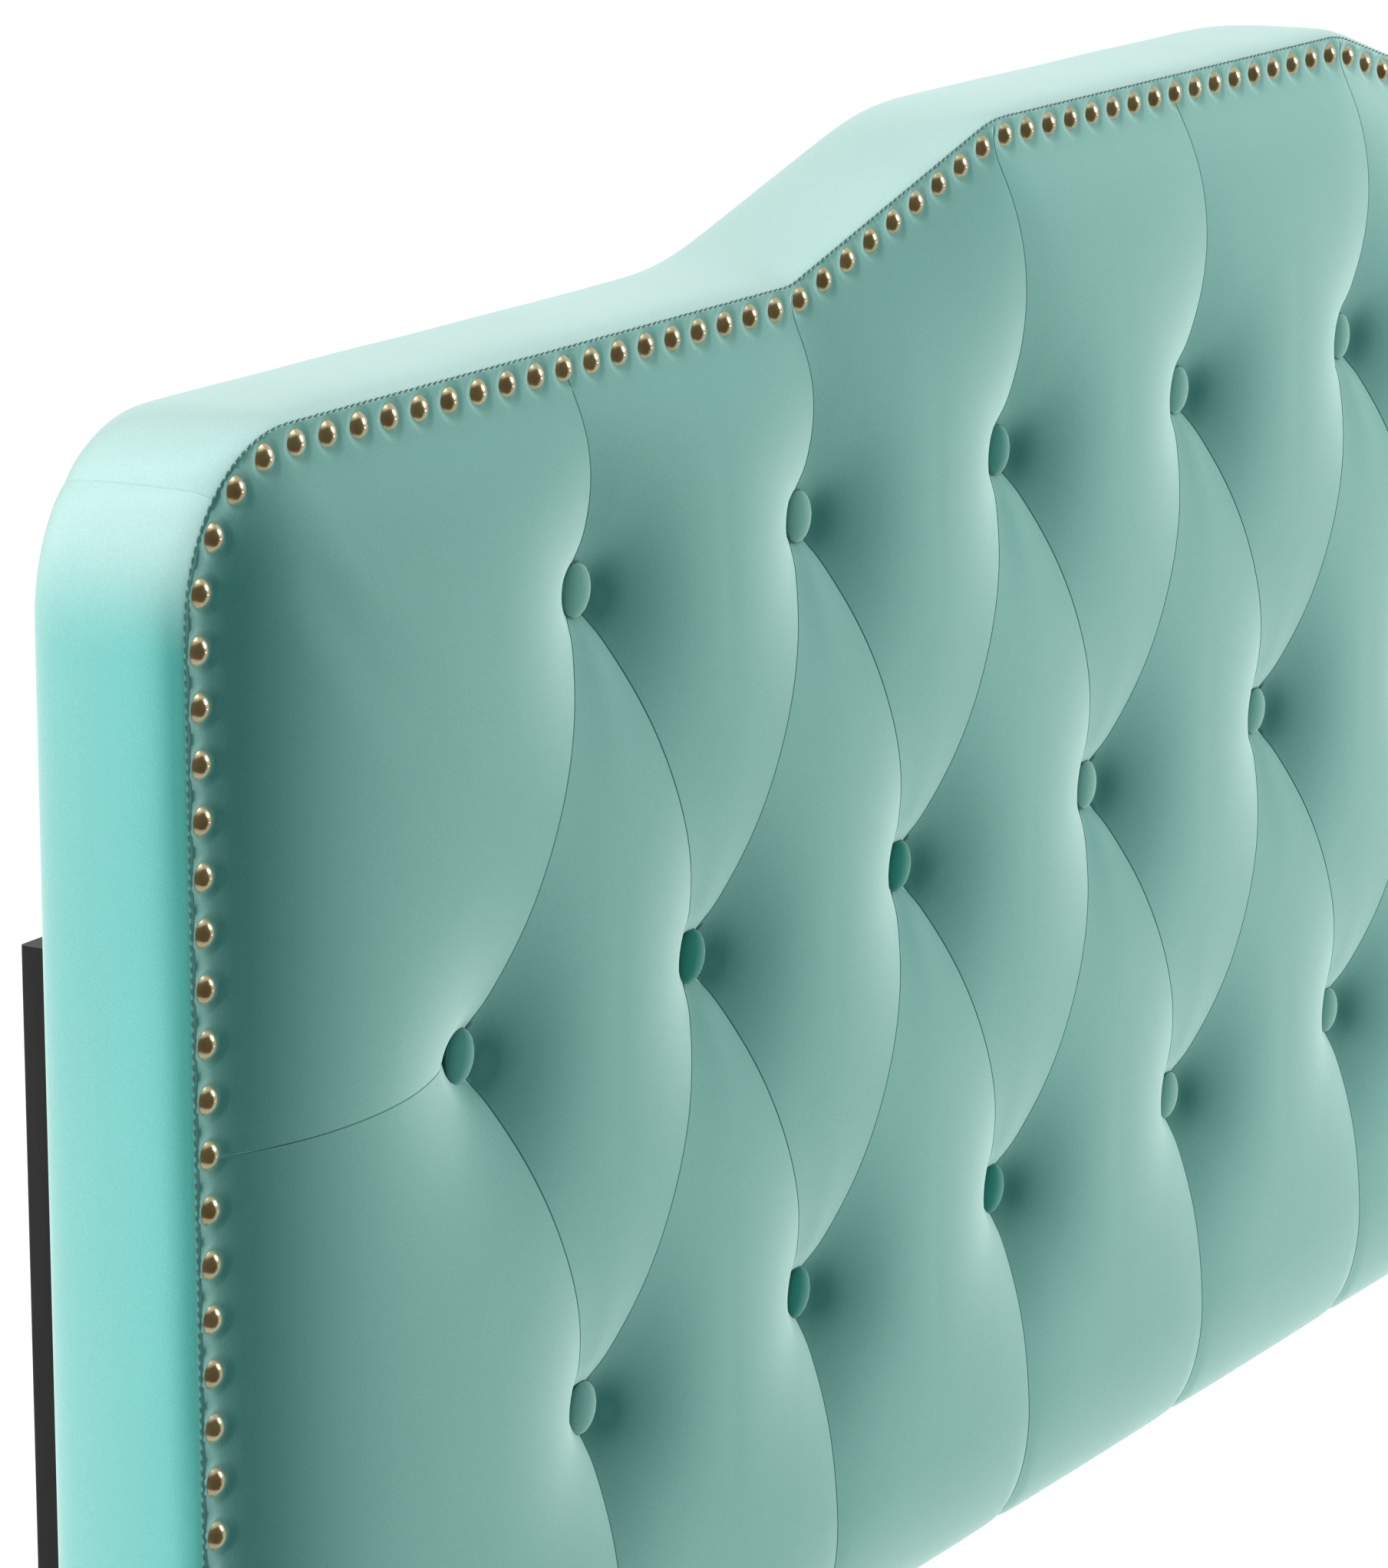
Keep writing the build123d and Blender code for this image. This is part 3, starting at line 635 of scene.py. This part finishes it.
def make_button_row(name, places, tones):
    """Covered buttons of one row: low domes with the cloth drawn round the rim and a painted shade on the rim, some
    with the nap turned away.
    """
    vertices, faces, slots = [], [], []
    for number, (x, z) in enumerate(places):
        tilt_x, tilt_z = (random.uniform(-BUTTON_TILT, BUTTON_TILT) for _ in range(2))
        base = len(vertices)
        for radius, height in BUTTON_PROFILE:
            for k in range(BUTTON_SEGMENTS):
                turn = 2 * math.pi * k / BUTTON_SEGMENTS
                gather = GATHER_SLOPE * math.cos(turn * GATHERS) * max(0, radius - GATHER_START)
                u, v = (radius + gather) * math.cos(turn), (radius + gather) * math.sin(turn)
                vertices.append((x + u * MM, BUTTON_Y - (height + tilt_x * u + tilt_z * v) * MM, z + v * MM))
        start = len(faces)
        for i in range(len(BUTTON_PROFILE) - 1):
            for k in range(BUTTON_SEGMENTS):
                a, b = base + i * BUTTON_SEGMENTS + k, base + i * BUTTON_SEGMENTS + (k + 1) % BUTTON_SEGMENTS
                faces.append((a, b, b + BUTTON_SEGMENTS, a + BUTTON_SEGMENTS))
        faces.append(tuple(range(len(vertices) - BUTTON_SEGMENTS, len(vertices))))
        face_count, rim_start = len(faces) - start, BUTTON_RIM_RING * BUTTON_SEGMENTS
        slots += [tones.get(number, PLAIN_SLOT)] * rim_start + [RIM_SHADE_SLOT] * (face_count - rim_start)
    return new_object(name, mesh_of(name, vertices, faces, slots))


button_rows = []
for row_name, row_z in zip(rows, ROW_Z):
    row_places = [place for place in button_places() if abs(place[1] - row_z) < MM]
    row = make_button_row(row_name + "_covered", row_places, BUTTON_SLOTS[row_name])
    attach(row, "panel")
    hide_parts(row_name)
    button_rows.append(row)


# Dust cover

INNER_STILES = ("inner_stile_left", "centre_stile_left", "centre_stile_right", "inner_stile_right")
DUST_SLACK = 2 * MM
DUST_SLACK_START = 60 * MM
DUST_SLACK_REACH = 80 * MM
DUST_STILE_REACH = 45 * MM
DUST_COVER_DEPTH = 0.3 * MM
DUST_WAVE_SHARE = 0.2
DUST_WAVE_LENGTHS = (0.041, 0.13, 0.077)


def make_dust_cover():
    """Black cloth stapled over the open back, a little slack between the rails."""
    inset, foot, pitch = 6.5 * MM, 2 * MM, 12 * MM
    points, normals, _ = outline_loop(pitch, pitch)
    rim = points - normals * inset
    rim[:, 1] = np.maximum(rim[:, 1], BOTTOM_Z + foot)
    rim = rim[np.linalg.norm(np.roll(rim, 1, axis=0) - rim, axis=1) > 1 * MM]
    path = np.vstack([rim, rim[:1]])
    fill = np.array([
        (x, z) for x in np.arange(-HALF_WIDTH, HALF_WIDTH, pitch) for z in np.arange(BOTTOM_Z, CROWN_Z, pitch)
    ])
    deep = distance_to_path(fill, path) > 0.6 * pitch
    inside = (abs(fill[:, 0]) < HALF_WIDTH - inset) & (fill[:, 1] < panel_top(fill[:, 0]) - inset)
    spots = [Vector(p) / MM for p in np.vstack([rim, fill[deep & inside]])]
    kept = [(i, (i + 1) % len(rim)) for i in range(len(rim))]
    found = geometry.delaunay_2d_cdt(spots, kept, [], DELAUNAY_INSIDE, DELAUNAY_CLOSE)
    places = np.array([tuple(v) for v in found[0]]) * MM
    off = np.clip(distance_to_path(places, path) - DUST_SLACK_START, 0, None)
    slack = DUST_SLACK * (1 - np.exp(-off / DUST_SLACK_REACH))
    for name in INNER_STILES:
        low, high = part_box(name)
        clear = np.clip(np.maximum(low[0] - places[:, 0], places[:, 0] - high[0]), 0, None)
        slack *= 1 - np.exp(-clear / DUST_STILE_REACH)
    across, bend, upward = DUST_WAVE_LENGTHS
    waves = np.sin(places[:, 0] / across + 2 * np.sin(places[:, 1] / bend)) * np.sin(places[:, 1] / upward + 1)
    depth = BACK_Y - DUST_COVER_DEPTH - slack * (1 - DUST_WAVE_SHARE + DUST_WAVE_SHARE * waves)
    vertices = np.column_stack([places[:, 0], depth, places[:, 1]])
    return new_object("dust_cover_cloth", mesh_of("dust_cover_cloth", vertices, found[2]))


dust_cover = make_dust_cover()
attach(dust_cover, "panel")
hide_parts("dust_cover")


# Materials

def material(name):
    """New node material: itself, its tree, its shader and its object coordinates."""
    mat = bpy.data.materials.new(name)
    mat.use_nodes = True
    tree = mat.node_tree
    coordinates = tree.nodes.new("ShaderNodeTexCoord")
    return mat, tree, tree.nodes["Principled BSDF"], coordinates.outputs["Object"]


def noise(tree, vector, scale, detail=3.0, roughness=0.55, stretch=(1, 1, 1)):
    """Noise in object space, stretched along the axes."""
    mapping = tree.nodes.new("ShaderNodeMapping")
    mapping.inputs["Scale"].default_value = stretch
    tree.links.new(vector, mapping.inputs["Vector"])
    node = tree.nodes.new("ShaderNodeTexNoise")
    node.inputs["Scale"].default_value = scale
    node.inputs["Detail"].default_value = detail
    node.inputs["Roughness"].default_value = roughness
    tree.links.new(mapping.outputs["Vector"], node.inputs["Vector"])
    return node.outputs["Fac"]


def ramp(tree, factor, stops):
    """Colour ramp over a factor."""
    node = tree.nodes.new("ShaderNodeValToRGB")
    elements = node.color_ramp.elements
    while len(elements) < len(stops):
        elements.new(0.5)
    for element, (place, colour) in zip(elements, stops):
        element.position = place
        element.color = (*colour, 1)
    tree.links.new(factor, node.inputs["Fac"])
    return node.outputs["Color"]


def multiplied(tree, first, second):
    """Product of two colours."""
    node = tree.nodes.new("ShaderNodeMix")
    node.data_type, node.blend_type = "RGBA", "MULTIPLY"
    node.inputs["Factor"].default_value = 1
    tree.links.new(first, node.inputs["A"])
    tree.links.new(second, node.inputs["B"])
    return node.outputs["Result"]


def bump(tree, shader, height, strength, distance):
    """Bump from a height on a shader, stacked on what is there."""
    node = tree.nodes.new("ShaderNodeBump")
    node.inputs["Strength"].default_value = strength
    node.inputs["Distance"].default_value = distance
    tree.links.new(height, node.inputs["Height"])
    socket = shader.inputs["Normal"]
    if socket.is_linked:
        tree.links.new(socket.links[0].from_socket, node.inputs["Normal"])
    tree.links.new(node.outputs["Normal"], socket)


def mixed(tree, first, second, share):
    """Mix of two colours."""
    node = tree.nodes.new("ShaderNodeMix")
    node.data_type = "RGBA"
    tree.links.new(share, node.inputs["Factor"])
    tree.links.new(first, node.inputs["A"])
    tree.links.new(second, node.inputs["B"])
    return node.outputs["Result"]


def height_share(tree, place, low, high):
    """Share from nought to one between two heights."""
    split = tree.nodes.new("ShaderNodeSeparateXYZ")
    tree.links.new(place, split.inputs["Vector"])
    node = tree.nodes.new("ShaderNodeMapRange")
    node.interpolation_type = "SMOOTHSTEP"
    node.inputs["From Min"].default_value, node.inputs["From Max"].default_value = low, high
    tree.links.new(split.outputs["Z"], node.inputs["Value"])
    return node.outputs["Result"]


def velvet(name, sheen_stops, lit_top_stops=None):
    """Cut-pile velvet whose base colour is painted by the angle it is seen at, a painted sheen and shade, deepest when
    turned a little and pale at grazing angles, over a nap in patches.

    With lit_top_stops the colour is painted paler from where the side turns into the top, as painted light from above.
    """
    mat, tree, shader, place = material(name)
    nap = noise(tree, place, 7, 3, 0.5, (1, 1, 0.6))
    brushed = noise(tree, place, 45, 4, 0.6, (1, 1, 0.45))
    pile = noise(tree, place, 1300, 2)
    bump(tree, shader, brushed, 0.05, 0.8 * MM)
    bump(tree, shader, pile, 0.14, 0.3 * MM)
    layer = tree.nodes.new("ShaderNodeLayerWeight")
    layer.inputs["Blend"].default_value = 0.5
    tree.links.new(shader.inputs["Normal"].links[0].from_socket, layer.inputs["Normal"])
    # Painted sheen and shade: the base colour follows how squarely the surface faces the camera
    sheen = ramp(tree, layer.outputs["Facing"], sheen_stops)
    if lit_top_stops:
        # Painted light: from the turn of the corner upwards the band takes the paler top ramp
        turned = height_share(tree, place, *LIT_TOP_HEIGHTS)
        sheen = mixed(tree, sheen, ramp(tree, layer.outputs["Facing"], lit_top_stops), turned)
    patches = ramp(tree, nap, [(0.3, (0.94, 0.95, 0.95)), (0.7, (1, 1, 1))])
    grain = ramp(tree, pile, [(0.3, (0.90, 0.91, 0.91)), (0.7, (1.0, 1.0, 1.0))])
    tree.links.new(multiplied(tree, multiplied(tree, sheen, patches), grain), shader.inputs["Base Color"])
    shader.inputs["Roughness"].default_value = 0.9
    shader.inputs["Specular IOR Level"].default_value = 0.08
    shader.inputs["Sheen Weight"].default_value = 0.12
    shader.inputs["Sheen Roughness"].default_value = 0.4
    return mat


def metal(name, dark, light, roughness, patina_scale):
    """Metal with a patina of darker and lighter patches."""
    mat, tree, shader, place = material(name)
    shader.inputs["Metallic"].default_value = 1
    patina = ramp(tree, noise(tree, place, patina_scale, 4), [(0.32, dark), (0.68, light)])
    tree.links.new(patina, shader.inputs["Base Color"])
    rough = tree.nodes.new("ShaderNodeMapRange")
    rough.inputs["To Min"].default_value, rough.inputs["To Max"].default_value = roughness
    tree.links.new(noise(tree, place, patina_scale * 4, 3), rough.inputs["Value"])
    tree.links.new(rough.outputs["Result"], shader.inputs["Roughness"])
    bump(tree, shader, noise(tree, place, patina_scale * 6, 3), 0.05, 0.2 * MM)
    return mat


def timber(name, dark, light, grain, roughness, relief):
    """Wood or painted wood with its grain along one axis."""
    mat, tree, shader, place = material(name)
    lines = noise(tree, place, 22, 6, 0.62, grain)
    tree.links.new(ramp(tree, lines, [(0.35, dark), (0.65, light)]), shader.inputs["Base Color"])
    shader.inputs["Roughness"].default_value = roughness
    shader.inputs["Specular IOR Level"].default_value = 0.22
    bump(tree, shader, lines, relief, 0.4 * MM)
    return mat


def cloth(name, dark, light, scale):
    """Plain cloth or fleece with fine fibres."""
    mat, tree, shader, place = material(name)
    fibres = noise(tree, place, scale, 4, 0.65)
    tree.links.new(ramp(tree, fibres, [(0.35, dark), (0.65, light)]), shader.inputs["Base Color"])
    shader.inputs["Roughness"].default_value = 0.9
    shader.inputs["Sheen Weight"].default_value = 0.2
    bump(tree, shader, fibres, 0.3, 0.3 * MM)
    return mat


# Painted sheen and shade: darkest where the front is turned a little from the camera, paler face-on and paler still at
# grazing angles
velvet_front = velvet("velvet_front", [
    (0.0, (0.145, 0.35, 0.312)), (0.03, (0.11, 0.29, 0.258)), (0.085, (0.052, 0.185, 0.164)),
    (0.135, (0.037, 0.156, 0.139)), (0.5, (0.217, 0.456, 0.405)), (0.92, (0.53, 0.79, 0.73)),
])
# The bands' ramps are a lit copy of the front's, painted lighter as painted light on the sides, with a paler ramp for
# the top
velvet_band = velvet("velvet_band", [
    (0.05, (0.080, 0.37, 0.33)), (0.165, (0.190, 0.595, 0.55)), (0.5, (0.42, 0.69, 0.65)), (0.92, (0.62, 0.80, 0.76)),
], [
    (0.05, (0.46, 0.72, 0.685)), (0.3, (0.52, 0.77, 0.735)), (0.66, (0.42, 0.60, 0.565)), (0.92, (0.45, 0.62, 0.59)),
])
velvet_button = velvet("velvet_button", [
    (0.04, (0.065, 0.20, 0.175)), (0.125, (0.040, 0.155, 0.136)), (0.5, (0.135, 0.335, 0.29)),
    (0.92, (0.38, 0.62, 0.54)),
])
velvet_button_turned = velvet("velvet_button_turned", [
    (0.04, (0.04, 0.17, 0.145)), (0.125, (0.025, 0.13, 0.11)), (0.5, (0.05, 0.22, 0.185)), (0.92, (0.28, 0.53, 0.46)),
])
velvet_button_deep = velvet("velvet_button_deep", [
    (0.04, (0.015, 0.14, 0.11)), (0.125, (0.008, 0.10, 0.08)), (0.5, (0.012, 0.17, 0.135)), (0.92, (0.20, 0.46, 0.39)),
])
# Painted shade for the buttons' rims, where the lip beside each button shades it
velvet_rim_shade = velvet("velvet_rim_shade", [(0.12, (0.012, 0.06, 0.055)), (0.5, (0.05, 0.16, 0.14)), (0.92, (0.15, 0.30, 0.27))])
thread = cloth("thread", (0.025, 0.09, 0.085), (0.05, 0.16, 0.15), 900)
finishes = {
    "antique_brass": metal("antique_brass", (0.49, 0.42, 0.26), (0.63, 0.565, 0.38), (0.17, 0.26), 90),
    "zinc_steel": metal("zinc_steel", (0.45, 0.46, 0.47), (0.62, 0.63, 0.64), (0.28, 0.45), 60),
    "black_wood": timber("black_wood", (0.009, 0.0087, 0.0087), (0.016, 0.0153, 0.015), (3, 3, 0.15), 0.6, 0.25),
    "pine": timber("pine", (0.52, 0.33, 0.15), (0.70, 0.50, 0.27), (2, 2, 0.2), 0.6, 0.15),
    "plywood": timber("plywood", (0.45, 0.30, 0.16), (0.60, 0.44, 0.26), (0.3, 2, 2), 0.65, 0.15),
    "glide_plastic": cloth("glide_plastic", (0.012, 0.012, 0.012), (0.02, 0.02, 0.02), 300),
    "dust_fabric": cloth("dust_fabric", (0.012, 0.012, 0.013), (0.03, 0.03, 0.032), 420),
    "wadding": cloth("wadding", (0.75, 0.75, 0.72), (0.85, 0.85, 0.83), 200),
    "foam": cloth("foam", (0.75, 0.68, 0.45), (0.85, 0.78, 0.55), 350),
    "twine": cloth("twine", (0.60, 0.55, 0.42), (0.75, 0.70, 0.58), 500),
    "velvet": velvet_front,
}
for part in frame["record"]["subparts"]:
    node = frame["nodes"][part["node"]]
    node.data.materials.clear()
    node.data.materials.append(finishes[part["material_slot"]])
front_cover.data.materials.append(velvet_front)
stitches.data.materials.append(thread)
dust_cover.data.materials.append(finishes["dust_fabric"])
for band in bands:
    band.data.materials.append(velvet_band)
for row in button_rows:
    for finish in (velvet_button, velvet_button_turned, velvet_button_deep, velvet_rim_shade):
        row.data.materials.append(finish)


# Floor, light and camera

def make_floor():
    """Plain pale floor."""
    mesh = mesh_of("floor", [(-40, -40, 0), (40, -40, 0), (40, 40, 0), (-40, 40, 0)], [(0, 1, 2, 3)])
    mat, tree, shader, place = material("floor")
    tone = ramp(tree, noise(tree, place, 3, 2), [(0.3, (0.90, 0.90, 0.90)), (0.7, (0.92, 0.92, 0.92))])
    tree.links.new(tone, shader.inputs["Base Color"])
    shader.inputs["Roughness"].default_value = 0.9
    mesh.materials.append(mat)
    floor = new_object("floor", mesh)
    floor.visible_glossy = False


def make_card(name, distance, low, high, tone):
    """Glowing card far in front of the panel that only reflections see, for the nails' dark hearts and pale rims."""
    left, right = low[0], high[0]
    corners = [(left, low[1]), (right, low[1]), (right, high[1]), (left, high[1])]
    mesh = mesh_of(name, [(x, -distance, z) for x, z in corners], [(0, 1, 2, 3)])
    mat, tree, shader, place = material(name)
    shade = ramp(tree, noise(tree, place, 1, 2), [(0.3, tone), (0.7, [1.1 * c for c in tone])])
    tree.links.new(shade, shader.inputs["Emission Color"])
    shader.inputs["Base Color"].default_value = (0, 0, 0, 1)
    shader.inputs["Emission Strength"].default_value = 1
    mesh.materials.append(mat)
    card = new_object(name, mesh)
    card.visible_camera = card.visible_diffuse = card.visible_shadow = False
    card.visible_transmission = card.visible_volume_scatter = False


def area_light(name, place, target, size, power):
    """Round soft box at a place, turned to a target."""
    light = bpy.data.lights.new(name, "AREA")
    light.shape, light.size, light.energy = "DISK", size, power
    obj = bpy.data.objects.new(name, light)
    bpy.context.scene.collection.objects.link(obj)
    obj.location = place
    obj.rotation_euler = (Vector(target) - Vector(place)).to_track_quat("-Z", "Y").to_euler()


WORLD_FADE = (-0.6, 0.3)


def make_world(back, front):
    """White studio, darker on the side that the panel faces."""
    world = bpy.data.worlds.new("studio")
    world.use_nodes = True
    tree = world.node_tree
    coordinates = tree.nodes.new("ShaderNodeTexCoord")
    split = tree.nodes.new("ShaderNodeSeparateXYZ")
    tree.links.new(coordinates.outputs["Generated"], split.inputs["Vector"])
    fade = tree.nodes.new("ShaderNodeMapRange")
    fade.interpolation_type = "SMOOTHSTEP"
    fade.inputs["From Min"].default_value, fade.inputs["From Max"].default_value = WORLD_FADE
    fade.inputs["To Min"].default_value, fade.inputs["To Max"].default_value = front, back
    tree.links.new(split.outputs["Y"], fade.inputs["Value"])
    background = tree.nodes["Background"]
    background.inputs["Color"].default_value = (1, 1, 1, 1)
    tree.links.new(fade.outputs["Result"], background.inputs["Strength"])
    bpy.context.scene.world = world


make_floor()
make_card("brown_card", 12, (-20, -14), (9, 14), (0.095, 0.073, 0.027))
make_card("white_card", 12.5, (-60, -50), (60, 60), (0.62, 0.60, 0.56))
area_light("left_back", (-3.4, 1.4, 1.7), (-0.7, 0, 1.0), 2.4, 36)
area_light("overhead", (-0.4, -0.2, 3.6), (-0.3, 0, 1.0), 2.6, 30)
area_light("right_front", (2.6, -2.6, 2.3), (-0.2, 0, 0.95), 1.6, 48)
area_light("backdrop", (6.0, 4.0, 4.5), (6.0, 4.0, 0), 6.0, 230)
make_world(1.0, 0.45)
bpy.context.scene.view_settings.view_transform = "Standard"

# Camera: its place, the way it looks and its lens, found from the photograph
CAMERA_PLACE = Vector((-2.668, SEAM_Y - 1.301, ROW_Z[0] + 0.503))
CAMERA_YAW, CAMERA_PITCH, CAMERA_ROLL = math.radians(59.84), math.radians(13.03), math.radians(0.18)
CAMERA_SENSOR, CAMERA_LENS = 36, 152.4
ahead = math.cos(CAMERA_PITCH)
forward = Vector((math.sin(CAMERA_YAW) * ahead, math.cos(CAMERA_YAW) * ahead, -math.sin(CAMERA_PITCH)))
level = Vector((math.cos(CAMERA_YAW), -math.sin(CAMERA_YAW), 0))
down = forward.cross(level)
right = level * math.cos(CAMERA_ROLL) + down * math.sin(CAMERA_ROLL)
below = down * math.cos(CAMERA_ROLL) - level * math.sin(CAMERA_ROLL)
camera_data = bpy.data.cameras.new("camera")
camera_data.sensor_fit, camera_data.sensor_height, camera_data.lens = "VERTICAL", CAMERA_SENSOR, CAMERA_LENS
camera = bpy.data.objects.new("camera", camera_data)
bpy.context.scene.collection.objects.link(camera)
camera.matrix_world = Matrix.Translation(CAMERA_PLACE) @ Matrix((right, -below, -forward)).transposed().to_4x4()
bpy.context.scene.camera = camera
